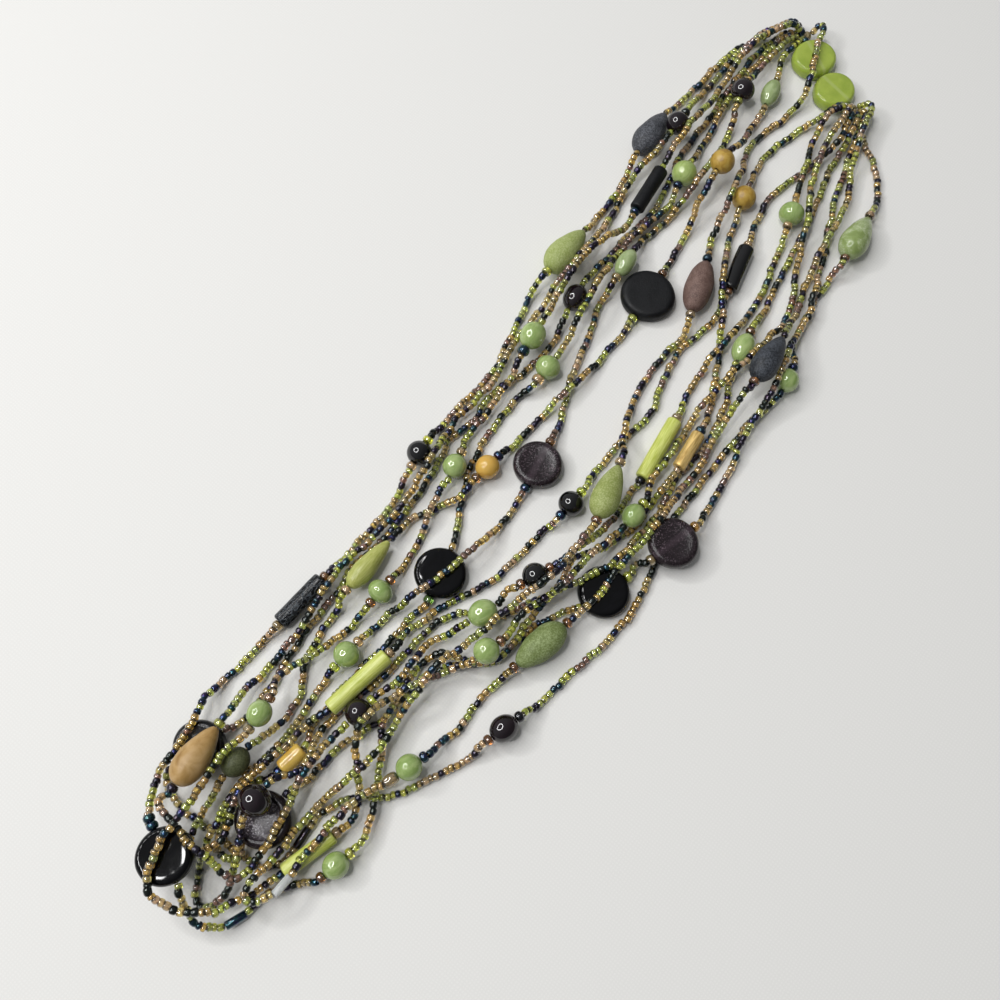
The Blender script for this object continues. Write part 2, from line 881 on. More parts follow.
@dataclass
class SmallBeads:
    """Many small beads in one mesh, each a copy of one spun ring."""

    outline: Outline
    sides: int
    chance: random.Random
    mesh: BMesh = field(default_factory=bmesh.new)
    ring: bpy.types.Mesh = field(init=False)

    def __post_init__(self) -> None:
        """Spins the ring that every bead copies, with the faces of its hole marked."""
        shape = bmesh.new()
        place = shape.verts.layers.float_vector.new("bead")
        shape.verts.layers.float_color.new("tint")
        spin_closed(shape, self.outline, self.sides, loop=True)
        for vertex in shape.verts:
            vertex[place] = vertex.co
        hole = min(radius for radius, _ in self.outline) + 0.01
        for face in shape.faces:
            face.material_index = int(all(math.hypot(v.co.x, v.co.y) < hole for v in face.verts))
        self.ring = bpy.data.meshes.new("ring")
        shape.to_mesh(self.ring)
        shape.free()

    def add(self, matrix: Matrix, glass: Glass) -> None:
        """Adds one bead.

        Args:
            matrix: From the ring's millimetres to its place.
            glass: Its glass.
        """
        first_vertex, first_face = len(self.mesh.verts), len(self.mesh.faces)
        self.mesh.from_mesh(self.ring)
        self.mesh.verts.ensure_lookup_table()
        self.mesh.faces.ensure_lookup_table()
        new = self.mesh.verts[first_vertex:]
        bmesh.ops.transform(self.mesh, matrix=matrix, verts=new)
        red, green, blue, _ = linear(glass.colour)
        lightness = self.chance.uniform(0.8, 1.25)
        shade = (
            red * lightness * self.chance.uniform(0.92, 1.08),
            green * lightness,
            blue * lightness * self.chance.uniform(0.85, 1.15),
            self.chance.random(),
        )
        tint = self.mesh.verts.layers.float_color["tint"]
        for vertex in new:
            vertex[tint] = shade
        numbers = [SMALL_FINISHES.index(finish) for finish in (glass.skin, glass.hole)]
        for face in self.mesh.faces[first_face:]:
            face.material_index = numbers[face.material_index]

    def close(self, name: str, node: str) -> Piece:
        """Makes the piece.

        Args:
            name: Its name.
            node: The CAD node that it stands for.

        Returns:
            The new piece.
        """
        bpy.data.meshes.remove(self.ring)
        return finish_piece(name, self.mesh, SMALL_FINISHES, node, crease=75.0)


@dataclass
class Way:
    """A smooth line through points, walked by its length."""

    points: list[Vector]
    start: Vector
    end: Vector
    step: float = 0.6 * MM
    fine: list[Vector] = field(init=False)
    marks: list[float] = field(init=False)

    def __post_init__(self) -> None:
        """Bends the line through its points, with set directions at both ends."""
        last = len(self.points) - 1
        turns = [self.start.normalized()]
        turns += [(self.points[i + 1] - self.points[i - 1]).normalized() for i in range(1, last)]
        turns += [self.end.normalized()]
        self.fine = [self.points[0]]
        for i in range(last):
            a, b = self.points[i], self.points[i + 1]
            reach = (b - a).length / 3
            steps = max(3, round(reach * 3 / self.step))
            handles = a + turns[i] * reach, b - turns[i + 1] * reach
            self.fine += geometry.interpolate_bezier(a, *handles, b, steps)[1:]
        self.marks = [0.0]
        for a, b in zip(self.fine, self.fine[1:]):
            self.marks.append(self.marks[-1] + (b - a).length)

    @property
    def length(self) -> float:
        """Length of the line in metres."""
        return self.marks[-1]

    def at(self, distance: float) -> tuple[Vector, Vector]:
        """Walks the line.

        Args:
            distance: How far from its start, in metres.

        Returns:
            The point there and the direction.
        """
        distance = min(max(distance, 0.0), self.length)
        i = max(bisect_left(self.marks, distance), 1)
        a, b = self.fine[i - 1], self.fine[i]
        share = (distance - self.marks[i - 1]) / max(self.marks[i] - self.marks[i - 1], 1e-9)
        return a.lerp(b, share), (b - a).normalized()


@dataclass
class StringLine:
    """One string as the CAD lays it: runs of seed beads, and the bores between them."""

    number: int
    runs: list[list[Vector]]
    bores: list[tuple[Vector, Vector]]

    @classmethod
    def read(cls, number: int, knot: Vector, thin: float = 0.7 * MM, sides: int = 8) -> "StringLine":
        """Reads the rings of a string's CAD tube, from the left knot on.

        Args:
            number: The string's number.
            knot: The middle of the left knot.
            thin: Radius under which a ring is the thread's and not the beads'.
            sides: How many points a ring has.

        Returns:
            The string.
        """
        tube = bmesh.new()
        tube.from_mesh(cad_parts[f"string_{number}"].data)
        bmesh.ops.remove_doubles(tube, verts=tube.verts, dist=1e-6)
        tube.verts.index_update()
        level = set(sorted(tube.verts, key=lambda v: (v.co - knot).length)[:sides])
        seen, rings = set(level), []
        while level:
            ring = sorted(level, key=lambda v: v.index)
            middle = sum((v.co for v in ring), Vector()) / len(ring)
            rings.append((middle, max((v.co - middle).length for v in ring) > thin))
            level = {e.other_vert(v) for v in ring for e in v.link_edges} - seen
            seen |= level
        runs, bores = [[]], []
        for (middle, wide), (after, after_wide) in zip(rings, rings[1:]):
            if wide:
                runs[-1].append(middle)
            elif not after_wide and runs[-1]:
                bores.append((middle, after))
                runs.append([])
        tube.free()
        # The last bore found is the way to the right knot
        return cls(number, runs[:-1], bores[:-1])


class Shape(Enum):
    """The shapes of the larger beads, with how much fuller one end of each is."""

    ROUND = ("round", 0.0)
    DROP = ("drop", 0.35)
    NUGGET = ("nugget", 0.1)
    TUBE = ("tube", 0.0)
    COIN = ("coin", 0.0)

    def __init__(self, word: str, skew: float) -> None:
        """Names the word for the shape and the skew towards its full end."""
        self.word, self.skew = word, skew


@dataclass(frozen=True)
class Spacer:
    """A spacer bead beside a larger bead: its glass and size in millimetres."""

    glass: Glass
    width: float = 3.1
    length: float = 2.0


@dataclass(frozen=True)
class StringBead:
    """One larger bead of a string, with the spacers before and after it.

    A spacer is given by its glass alone where it has the usual size. Uneven is how far the
    bead's skin wanders, as a share of its radius. A drop's forward is 1 where its wide end
    points along the string, or -1. Recess is how far a coin's face lies below its rim, in
    millimetres.
    """

    name: str
    shape: Shape
    finish: Finish
    before: Sequence[Glass | Spacer] = ()
    after: Sequence[Glass | Spacer] = ()
    uneven: float = 0.03
    forward: int = 1
    recess: float = 0.0

    @property
    def node(self) -> str:
        """The bead's CAD node: the round jade beads share one."""
        return "jade_rounds" if self.name.startswith("jade_") else self.name


# The larger beads of each string in their order
STRINGS: list[list[StringBead]] = [
    [
        StringBead("purple_oval", Shape.ROUND, AMETHYST),
        StringBead("black_coin_left", Shape.COIN, SANDY_BLACK, recess=0.5),
        StringBead("amethyst_round_right", Shape.ROUND, AMETHYST, [Glass.BROWN], [Glass.DARK]),
        StringBead("jade_right", Shape.ROUND, JADE, [], [Glass.TEAL], 0.05),
        StringBead("serpentine_drop", Shape.DROP, SERPENTINE, [Glass.BROWN], [Glass.TAN], 0.08, -1),
    ],
    [
        StringBead("lime_round", Shape.ROUND, LIME_ROUND, [], [Glass.NAVY]),
        StringBead("jade_left", Shape.ROUND, JADE, [], [Spacer(Glass.TAN, 3.7, 2.6)], 0.05),
        StringBead("black_coin_middle", Shape.COIN, BLACK_COIN, [], [Glass.GREEN]),
        StringBead("gold_tube_short", Shape.TUBE, AMBER_TUBE, [], [Glass.BLUE], 0.02),
        StringBead("amethyst_coin_low", Shape.COIN, SANDY_PLUM, recess=0.6),
        StringBead("black_coin_right", Shape.COIN, BLACK_COIN, [], [Glass.LIME]),
        StringBead("amethyst_coin_right", Shape.COIN, PLUM, [Glass.TAN], [Glass.AMBER], recess=0.15),
    ],
    [
        StringBead("purple_round", Shape.ROUND, AMETHYST, [], [Glass.LIME]),
        StringBead("small_oval", Shape.ROUND, PALE_JADE, [], [Glass.TAN], 0.05),
        StringBead("amethyst_coin_middle", Shape.COIN, PLUM, [Glass.BROWN], [Glass.TEAL], recess=0.15),
        StringBead("jade_low_middle", Shape.ROUND, JADE, [Glass.TAN], [Glass.LIME], 0.05),
        StringBead("amethyst_round_big", Shape.ROUND, AMETHYST),
        StringBead("right_oval", Shape.ROUND, JADE, [], [Glass.BROWN], 0.05),
    ],
    [
        StringBead("pale_oval", Shape.ROUND, PALE_JADE, uneven=0.05),
        StringBead("amber_round_left", Shape.ROUND, DULL_AMBER),
        StringBead("matte_coin", Shape.COIN, MATTE_BLACK, [Glass.BROWN], [Glass.LIME]),
        StringBead("amber_oval", Shape.ROUND, AMBER, [Glass.NAVY], [Glass.BROWN]),
        StringBead("long_drop", Shape.DROP, PALE_SHELL, [], [Glass.TAN], 0.06),
        StringBead("olive_round", Shape.ROUND, FROSTED_OLIVE, uneven=0.05),
        StringBead("lime_tube_left", Shape.TUBE, SHELL, [], [Glass.TAN], 0.04),
        StringBead("black_round_middle", Shape.ROUND, GLOSS_BLACK, [Glass.BLUE], [Glass.LIME]),
        StringBead("black_tube_right", Shape.TUBE, GLOSS_BLACK, [Glass.BROWN], [Glass.TAN], 0.05),
    ],
    [
        StringBead("slate_drop", Shape.DROP, FROSTED_SLATE, uneven=0.08),
        StringBead("lime_drop", Shape.DROP, FROSTED_LIME, [], [Glass.LIME], 0.08),
        StringBead("black_round_left", Shape.ROUND, GLOSS_BLACK, [Glass.LIME], [Glass.TAN]),
        StringBead("scribble_tube", Shape.TUBE, SCRIBBLED, [Glass.BROWN], [Glass.TAN], 0.06),
        StringBead("black_coin_low", Shape.COIN, BLACK_COIN, [Glass.TEAL, Glass.TEAL]),
        StringBead("jade_bottom_right", Shape.ROUND, JADE, [Glass.BROWN], [Glass.LIME], 0.05),
        StringBead("gold_tube_long", Shape.TUBE, GOLD, [], [Glass.TEAL], 0.02),
        StringBead("amber_round_middle", Shape.ROUND, DULL_AMBER),
    ],
    [
        StringBead("dark_round", Shape.ROUND, AMETHYST, [Glass.GREEN_IRIS]),
        StringBead("tan_drop", Shape.DROP, TAN_STONE, [Glass.LIME], [Glass.PURPLE], 0.1),
        StringBead("amethyst_round_middle", Shape.ROUND, AMETHYST, [], [Glass.LIME]),
        StringBead("low_oval", Shape.ROUND, JADE, uneven=0.05),
        StringBead("black_round_right", Shape.ROUND, GLOSS_BLACK, [Glass.BROWN], [Glass.BROWN]),
        StringBead("lime_tube_right", Shape.TUBE, SHELL, [Glass.DARK], [Glass.TAN], 0.04),
        StringBead("jade_top", Shape.ROUND, JADE, [Glass.TAN], [], 0.05),
    ],
    [
        StringBead("black_tube_left", Shape.TUBE, MATTE_BLACK, [], [Glass.TEAL], 0.05),
        StringBead("left_oval", Shape.ROUND, JADE, [], [Spacer(Glass.TEAL, 3.7, 2.6)], 0.05),
        StringBead("jade_inner_left", Shape.ROUND, JADE, [Glass.TAN], [], 0.05),
        StringBead("jade_middle_left", Shape.ROUND, JADE, [Glass.BROWN], [Glass.BROWN], 0.05),
        StringBead("jade_low_left", Shape.ROUND, JADE, [Glass.BROWN], [Glass.TAN], 0.05),
        StringBead("lime_tube_low", Shape.TUBE, SHELL, [], [Glass.TAN], 0.04),
        StringBead("jade_middle", Shape.ROUND, JADE, [], [Glass.BROWN], 0.05),
        StringBead("jade_inner_right", Shape.ROUND, JADE, [], [Glass.LIME], 0.05),
    ],
    [
        StringBead("plum_drop", Shape.NUGGET, FROSTED_PLUM, [Glass.TEAL], [Glass.TAN], 0.08),
        StringBead("green_drop", Shape.DROP, FROSTED_YELLOW_GREEN, [Glass.TAN], [Glass.BROWN], 0.08),
        StringBead("jade_low_right", Shape.ROUND, JADE, [Spacer(Glass.TAN, 3.4, 4.2)], [Glass.BLUE], 0.05),
        StringBead("green_nugget", Shape.NUGGET, FROSTED_GREEN, [Glass.BROWN], [Glass.BROWN], 0.1),
        StringBead("black_drop", Shape.DROP, FROSTED_DARK, [Glass.BROWN], [], 0.08, -1),
    ],
]


@dataclass
class BeadPlace:
    """Where a larger bead sits on its string, in metres."""

    bead: StringBead
    middle: Vector
    along: Vector
    length: float


@dataclass(frozen=True)
class Bugle:
    """A long thin tube bead among the seed beads: its place in millimetres and its glass."""

    place: tuple[float, float]
    glass: Glass
    length: float = 5.6


BUGLES = {
    1: Bugle((9.2, -128.0), Glass.PURPLE),
    5: Bugle((9.2, -152.7), Glass.TEAL),
    8: Bugle((13.0, -140.9), Glass.CLEAR),
}

# Half outlines of the small beads, as shares of the half width and of the length
SEED_RING = both_ways([(0.42, -0.42), (0.8, -0.5), (1.0, -0.25)])
SPACER_RING = both_ways([(0.33, -0.34), (0.52, -0.5), (0.76, -0.46), (0.94, -0.27)], [(1.0, 0.0)])
TUBE_RING = both_ways([(0.45, -0.49), (0.86, -0.5), (1.0, -0.47)])
KNOT_RING = both_ways([(0.3, -0.3), (0.55, -0.5), (0.9, -0.34)], [(1.0, 0.0)])


@dataclass
class BeadString:
    """A string of seed beads with the spacers beside its larger beads, sizes in millimetres.

    Wiggle is how far the row sways, and jump and tilt are how far each bead leaves it.
    """

    line: StringLine
    beads: list[StringBead]
    left_knot: Vector
    right_knot: Vector
    seed_width: float = 2.1
    seed_length: float = 1.52
    bead_gap: float = 0.2
    knot_gap: float = 1.7
    wiggle: float = 0.34
    jump: float = 0.18
    tilt: float = 0.24
    thread_radius: float = 0.18
    thread: list[Vector] = field(default_factory=list)
    chance: random.Random = field(init=False)
    small: SmallBeads = field(init=False)
    large: SmallBeads = field(init=False)
    tubes: SmallBeads = field(init=False)

    def __post_init__(self) -> None:
        """Sets up the rings of the seed beads, the spacers and the bugle beads."""
        self.chance = random.Random(self.line.number)
        self.small = SmallBeads(SEED_RING, 10, self.chance)
        self.large = SmallBeads(SPACER_RING, 20, self.chance)
        self.tubes = SmallBeads(TUBE_RING, 16, self.chance)

    def places(self) -> list[BeadPlace]:
        """Lists the larger beads with their places.

        Returns:
            The places in their order along the string.
        """
        found = []
        for bead, (a, b) in zip(self.beads, self.line.bores, strict=True):
            length = (b - a).length - 2 * self.bead_gap * MM
            found.append(BeadPlace(bead, (a + b) / 2, (b - a).normalized(), length))
        return found

    def colours(self) -> Iterator[Glass]:
        """Draws the glass of one seed bead after another; the dark kinds mostly lie single.

        Yields:
            The next bead's glass.
        """
        kinds = [glass for glass in Glass if glass.share]
        glass = Glass.GOLD
        while True:
            was_dark = glass.skin is IRIS
            glass = self.chance.choices(kinds, [kind.share for kind in kinds])[0]
            if was_dark and glass.skin is IRIS and self.chance.random() < 0.6:
                glass = self.chance.choices([Glass.GOLD, Glass.LIME, Glass.PEACH], (5, 4, 2))[0]
            for _ in range(self.chance.choice([1, 1, 1, 2] if glass.skin is IRIS else [1, 1, 2, 3])):
                yield glass

    def set_spacers(self, wanted: Sequence[Glass | Spacer], tip: Vector, out: Vector) -> float:
        """Sets spacers in a row from a bead's end outwards.

        Args:
            wanted: The spacers, the nearest first.
            tip: The end of the bead's bore.
            out: The direction away from the bead.

        Returns:
            The length that they take, in metres.
        """
        reach = -self.bead_gap * MM
        for item in wanted:
            spacer = item if isinstance(item, Spacer) else Spacer(item)
            half = spacer.length / 2 * MM
            middle = tip + out * (reach + half)
            middle.z = max(middle.z, spacer.width / 2 * MM)
            size = Matrix.Diagonal((spacer.width / 2, spacer.width / 2, spacer.length, 1))
            self.large.add(frame_on(middle, out) @ size, spacer.glass)
            reach += 2 * half
        return max(reach, 0.0)

    def lengths(self, way: Way) -> list[float]:
        """Draws the lengths of the beads that fill a run, with a bugle bead where one lies.

        Args:
            way: The run.

        Returns:
            The lengths in millimetres, before they are scaled to fit.
        """
        count = max(1, round(way.length / (self.seed_length * MM)))
        lengths = [self.seed_length * self.chance.uniform(0.74, 1.26) for _ in range(count)]
        bugle = BUGLES.get(self.line.number)
        if bugle:
            spot = Vector(bugle.place) * MM
            away = [(way.at(sum(lengths[:i]) * MM)[0].xy - spot).length for i in range(count)]
            nearest = min(range(count), key=away.__getitem__)
            if away[nearest] < 3 * MM:
                first = max(0, nearest - 2)
                lengths[first : first + 4] = [bugle.length]
        return lengths

    def fill(self, way: Way, kinds: Iterator[Glass]) -> None:
        """Fills a run with seed beads that touch.

        Args:
            way: The run.
            kinds: The glasses to draw from.
        """
        lengths = self.lengths(way)
        bugle = BUGLES.get(self.line.number)
        scale = way.length / sum(lengths)
        done = 0.0
        for share in lengths:
            length = share * scale
            middle, along = way.at(done + length / 2)
            ends = min(done, way.length - done - length) / MM
            side = along.cross(UP).normalized()
            sway = noise.noise(Vector((done / MM * 0.22, self.line.number * 7.3, 0.0)))
            middle = middle + side * (sway * 2 * self.wiggle * min(1.0, max(ends, 0.0) / 4) * MM)
            width = self.seed_width / 2 * self.chance.uniform(0.92, 1.08)
            middle += side * self.chance.uniform(-self.jump, self.jump) * MM
            middle.z = max(middle.z + self.chance.uniform(-self.jump, self.jump) / 2 * MM, width * MM)
            nod = Matrix.Rotation(self.chance.uniform(-self.tilt, self.tilt), 4, "X")
            lean = Matrix.Rotation(self.chance.uniform(-self.tilt, self.tilt), 4, "Y")
            turn = Matrix.Rotation(self.chance.uniform(0, math.tau), 4, "Z")
            size = Matrix.Diagonal((width, width, length / MM * 0.98, 1))
            if bugle and share == bugle.length:
                self.tubes.add(frame_on(middle, along) @ turn @ size, bugle.glass)
            else:
                self.small.add(frame_on(middle, along) @ (nod @ lean) @ turn @ size, next(kinds))
            self.thread.append(middle)
            done += length

    def build(self) -> list[Piece]:
        """Builds the seed beads, the spacers and the thread inside them.

        Returns:
            The pieces.
        """
        runs = [list(run) for run in self.line.runs]
        turns = []
        for i, (bead, (a, b)) in enumerate(zip(self.beads, self.line.bores)):
            along = (b - a).normalized()
            taken = self.set_spacers(bead.before[::-1], a, -along)
            runs[i][-1] = a - along * taken
            taken = self.set_spacers(bead.after, b, along)
            runs[i + 1][0] = b + along * taken
            turns.append(along)
        first = (runs[0][0] - self.left_knot).normalized()
        last = (self.right_knot - runs[-1][-1]).normalized()
        runs[0].insert(0, self.left_knot + first * self.knot_gap * MM)
        runs[-1].append(self.right_knot - last * self.knot_gap * MM)
        kinds = self.colours()
        self.thread.append(self.left_knot)
        for run, start, end in zip(runs, [first] + turns, turns + [last]):
            self.fill(Way(run, start, end), kinds)
        self.thread.append(self.right_knot)
        number = self.line.number
        rows = (("seed_beads", self.small), ("spacer_beads", self.large), ("bugle_bead", self.tubes))
        pieces = [
            beads.close(f"{name}_{number}", f"string_{number}") for name, beads in rows if beads.mesh.faces
        ]
        return pieces + [self.thread_piece()]

    def thread_piece(self) -> Piece:
        """Builds the thread that shows between the beads where a string bends.

        Returns:
            The piece.
        """
        curve = bpy.data.curves.new("thread", "CURVE")
        curve.dimensions = "3D"
        curve.bevel_depth = self.thread_radius * MM
        curve.bevel_resolution = 0
        spline = curve.splines.new("POLY")
        spline.points.add(len(self.thread) - 1)
        for point, place in zip(spline.points, self.thread):
            point.co = (*place, 1.0)
        drawn = put("thread", curve)
        mesh = worked_out(drawn)
        bpy.data.objects.remove(drawn)
        bpy.data.curves.remove(curve)
        bmesh.ops.holes_fill(mesh, edges=[edge for edge in mesh.edges if edge.is_boundary])
        return finish_piece(f"thread_{self.line.number}", mesh, [THREAD], f"string_{self.line.number}")


@dataclass
class LargeBead:
    """One larger bead, as long and as wide as its CAD node, sizes in millimetres."""

    place: BeadPlace
    bore: float = 0.6
    steps: int = 40
    fullness: float = 1.06
    widest: float = 17.0
    look: StringBead = field(init=False)
    half: float = field(init=False)
    width: float = field(init=False)
    thickness: float = field(init=False)

    def __post_init__(self) -> None:
        """Measures the node's width and thickness across its bore."""
        self.look = self.place.bead
        self.half = self.place.length / MM / 2
        back = frame_on(self.place.middle, self.place.along).inverted()
        near = [back @ v.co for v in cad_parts[self.look.node].data.vertices]
        own = [p for p in near if abs(p.z) <= self.half + 0.2 and math.hypot(p.x, p.y) < self.widest / 2]
        self.width = 2 * max(abs(p.y) for p in own)
        self.thickness = 2 * max(abs(p.x) for p in own)

    def tube_outline(self) -> Outline:
        """Gives a tube's outline, with soft rims.

        Returns:
            The skin's radius and height from one hole to the other.
        """
        half, radius = self.half, self.width / 2
        soft = radius * 0.3
        arc = [math.radians(a) for a in range(0, 91, 15)]
        low = [(radius - soft + soft * math.sin(a), soft - half - soft * math.cos(a)) for a in arc]
        inner = (low[0][0] + self.bore) / 2
        belly = [(radius, height * (half - soft)) for height in (-0.66, -0.33, 0.0, 0.33, 0.66)]
        return both_ways([(self.bore, -half), (inner, -half)] + low, belly)

    def round_outline(self) -> Outline:
        """Gives the outline of a round, oval, drop or nugget, cut off at its bore.

        Returns:
            The skin's radius and height from one hole to the other.
        """
        skew = self.look.shape.skew * self.look.forward
        angles = [math.pi * i / 240 for i in range(241)]
        full = [math.sin(a) * (1 - skew * math.cos(a)) for a in angles]
        skin = [(self.width / 2 * f / max(full), -self.half * math.cos(a)) for f, a in zip(full, angles)]
        wide = [point for point in skin if point[0] > self.bore]
        return [(self.bore, wide[0][1])] + wide[4:-4:10] + [(self.bore, wide[-1][1])]

    def spun(self) -> BMesh:
        """Spins a round, oval, drop, nugget or tube about its bore, with softened hole rims.

        Returns:
            The bead in its own millimetres.
        """
        mesh = bmesh.new()
        outline = self.tube_outline() if self.look.shape is Shape.TUBE else self.round_outline()
        spin_closed(mesh, outline, self.steps, loop=True)
        rims = [
            edge
            for edge in mesh.edges
            if all(abs(math.hypot(v.co.x, v.co.y) - self.bore) < 0.01 for v in edge.verts)
            and abs(edge.verts[0].co.z - edge.verts[1].co.z) < 0.01
        ]
        soft = {"offset": 0.22, "segments": 3, "profile": 0.5, "affect": "EDGES"}
        bmesh.ops.bevel(mesh, geom=rims, material=-1, clamp_overlap=True, **soft)
        return mesh

    def pressed_coin(self) -> BMesh:
        """Spins a coin about its flat axis and drills its bore from rim to rim.

        Returns:
            The bead in its own millimetres.
        """
        radius, half, inner = self.width / 2, self.thickness / 2, 0.76
        recess = self.look.recess
        low, dish = half - recess, min(0.35, recess)
        face = [(0.0, low - dish), (0.2, low - 0.9 * dish), (0.4, low - 0.6 * dish), (0.62, low)]
        face += [(0.68, half - recess * 0.35), (inner, half - 0.02)]
        turns = [math.radians(a) for a in (12, 24, 36, 48, 60, 70, 80)]
        face += [(inner + (1 - inner) * math.sin(a) ** 0.9, half * math.cos(a) ** 0.8) for a in turns]
        disc = bmesh.new()
        upper = [(share * radius, height) for share, height in face]
        spin_closed(disc, both_ways(upper, [(radius, 0.0)]), 64, loop=False)
        on_edge = Matrix.Rotation(math.pi / 2, 3, "Y")
        bmesh.ops.rotate(disc, verts=disc.verts, cent=(0, 0, 0), matrix=on_edge)
        drill = bmesh.new()
        rod = {"radius1": self.bore, "radius2": self.bore, "depth": self.width + 4}
        bmesh.ops.create_cone(drill, cap_ends=True, segments=20, **rod)
        bodies = [put_mesh("disc", disc), put_mesh("drill", drill)]
        cut = bodies[0].modifiers.new("bore", "BOOLEAN")
        cut.operation = "DIFFERENCE"
        cut.solver = "EXACT"
        cut.object = bodies[1]
        mesh = worked_out(bodies[0])
        for body in bodies:
            data = body.data
            bpy.data.objects.remove(body)
            bpy.data.meshes.remove(data)
        return mesh

    def roughen(self, mesh: BMesh, chance: float) -> None:
        """Lets the skin wander, as tumbled or wound glass does, a little fuller than the node.

        Args:
            mesh: The bead in its own millimetres.
            chance: The bead's own number.
        """
        start = Vector((chance * 50, chance * 31, 0.0))
        thicker = 1.0 if self.look.shape is Shape.COIN else self.fullness
        for vertex in mesh.verts:
            wander = noise.noise(vertex.co * (1.1 / self.width * 2) + start)
            wander += 0.35 * noise.noise(vertex.co * (3.4 / self.width * 2) - start)
            if math.hypot(vertex.co.x, vertex.co.y) > self.bore * 1.6:
                keep = 1 - self.look.uneven * (0.5 + 0.6 * wander)
                vertex.co.x *= keep * thicker
                vertex.co.y *= keep * self.fullness

    def add_to(self, mesh: BMesh, chance: float) -> None:
        """Builds the bead and adds it to a piece's mesh.

        Args:
            mesh: The piece's mesh in metres.
            chance: The bead's own number, from 0 to 1.
        """
        shape = self.pressed_coin() if self.look.shape is Shape.COIN else self.spun()
        self.roughen(shape, chance)
        place = shape.verts.layers.float_vector.new("bead")
        tint = shape.verts.layers.float_color.new("tint")
        for vertex in shape.verts:
            vertex[place] = vertex.co
            vertex[tint] = (1.0, 1.0, 1.0, chance)
        pour(shape, mesh, frame_on(self.place.middle, self.place.along))

    def piece(self, chance: float) -> Piece:
        """Builds the bead as a piece of its own.

        Args:
            chance: The bead's own number, from 0 to 1.

        Returns:
            The piece.
        """
        mesh = bmesh.new()
        self.add_to(mesh, chance)
        return finish_piece(f"bead_{self.look.name}", mesh, [self.look.finish], self.look.node)


@dataclass
class LargeBeads:
    """All the larger beads on the strings."""

    places: list[BeadPlace]

    def build(self) -> list[Piece]:
        """Builds each bead as a piece of its own, and the round jade beads as one.

        Returns:
            The pieces.
        """
        chance = random.Random(90)
        pieces, jade = [], bmesh.new()
        for place in self.places:
            number = chance.random()
            if place.bead.node == "jade_rounds":
                LargeBead(place).add_to(jade, number)
            else:
                pieces.append(LargeBead(place).piece(number))
        pieces.append(finish_piece("jade_round_beads", jade, [JADE], "jade_rounds"))
        return pieces


@dataclass
class GatheredEnd:
    """The two knots, the thread between them, the coins on it and a teal bead at each knot."""

    left_knot: Vector
    right_knot: Vector
    thread_width: float = 0.8
    knot_width: float = 3.0
    bead_width: float = 3.0
    bead_length: float = 2.0

    def coin_places(self) -> list[BeadPlace]:
        """Finds each coin's place from its node's box, and turns its bore along the thread.

        Returns:
            The places of the left and the right coin.
        """
        found = []
        for name, turn in (("lime_coin_left", -30.0), ("lime_coin_right", -13.0)):
            low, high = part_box(name)
            along = Vector((math.cos(math.radians(turn)), math.sin(math.radians(turn)), 0.0))
            bead = StringBead(name, Shape.COIN, LIME_COIN)
            found.append(BeadPlace(bead, (low + high) / 2, along, high.x - low.x))
        return found

    def knot(self, mesh: BMesh, middle: Vector) -> None:
        """Winds one knot of four crossing turns of thread.

        Args:
            mesh: The mesh that takes it, in metres.
            middle: Its middle.
        """
        thick = self.knot_width * 0.17
        waist = self.knot_width / 2 - thick
        angles = [math.radians(a) for a in range(0, 360, 45)]
        circle = [(waist + thick * math.cos(a), thick * math.sin(a)) for a in angles]
        for turn, lean in ((0, 20), (60, 80), (130, 100), (20, 55)):
            wrap = bmesh.new()
            spin_closed(wrap, circle, 24, loop=True)
            place = Matrix.Translation(middle) @ Matrix.Rotation(math.radians(turn), 4, "Z")
            pour(wrap, mesh, place @ Matrix.Rotation(math.radians(lean), 4, "X") @ Matrix.Scale(MM, 4))

    def knots_and_thread(self, ends: list[Vector]) -> Piece:
        """Builds the knots and the straight thread between them.

        Args:
            ends: The ends of the coins' bores, from left to right.

        Returns:
            The piece.
        """
        mesh = bmesh.new()
        self.knot(mesh, self.left_knot)
        self.knot(mesh, self.right_knot)
        stops = [self.left_knot, *ends, self.right_knot]
        radius = self.thread_width / 2 * MM
        for a, b in zip(stops, stops[1:]):
            turn = (b - a).to_track_quat("Z", "Y").to_matrix().to_4x4()
            bmesh.ops.create_cone(
                mesh,
                cap_ends=True,
                segments=12,
                radius1=radius,
                radius2=radius,
                depth=(b - a).length,
                matrix=Matrix.Translation((a + b) / 2) @ turn,
            )
        return finish_piece("knots_and_thread", mesh, [THREAD], "knot_thread")

    def knot_beads(self, ends: list[Vector]) -> Piece:
        """Builds the teal bead between each knot and its coin.

        Args:
            ends: The ends of the coins' bores, from left to right.

        Returns:
            The piece.
        """
        teal = SmallBeads(KNOT_RING, 24, random.Random(5))
        for knot, end in ((self.left_knot, ends[0]), (self.right_knot, ends[-1])):
            way = end - knot
            length = min(self.bead_length, (way.length - self.knot_width * 0.3 * MM) / MM)
            size = Matrix.Diagonal((self.bead_width / 2, self.bead_width / 2, length, 1))
            middle = end - way.normalized() * (length / 2 * MM)
            teal.add(frame_on(middle, way) @ size, Glass.TEAL)
        return teal.close("knot_beads", "knot_thread")

    def build(self) -> list[Piece]:
        """Builds the gathered end.

        Returns:
            The pieces.
        """
        places = self.coin_places()
        ends = [p.middle + s * p.along * p.length / 2 for p in places for s in (-1, 1)]
        pieces = [self.knots_and_thread(ends), self.knot_beads(ends)]
        return pieces + [LargeBead(place).piece(0.3 + 0.4 * i) for i, place in enumerate(places)]


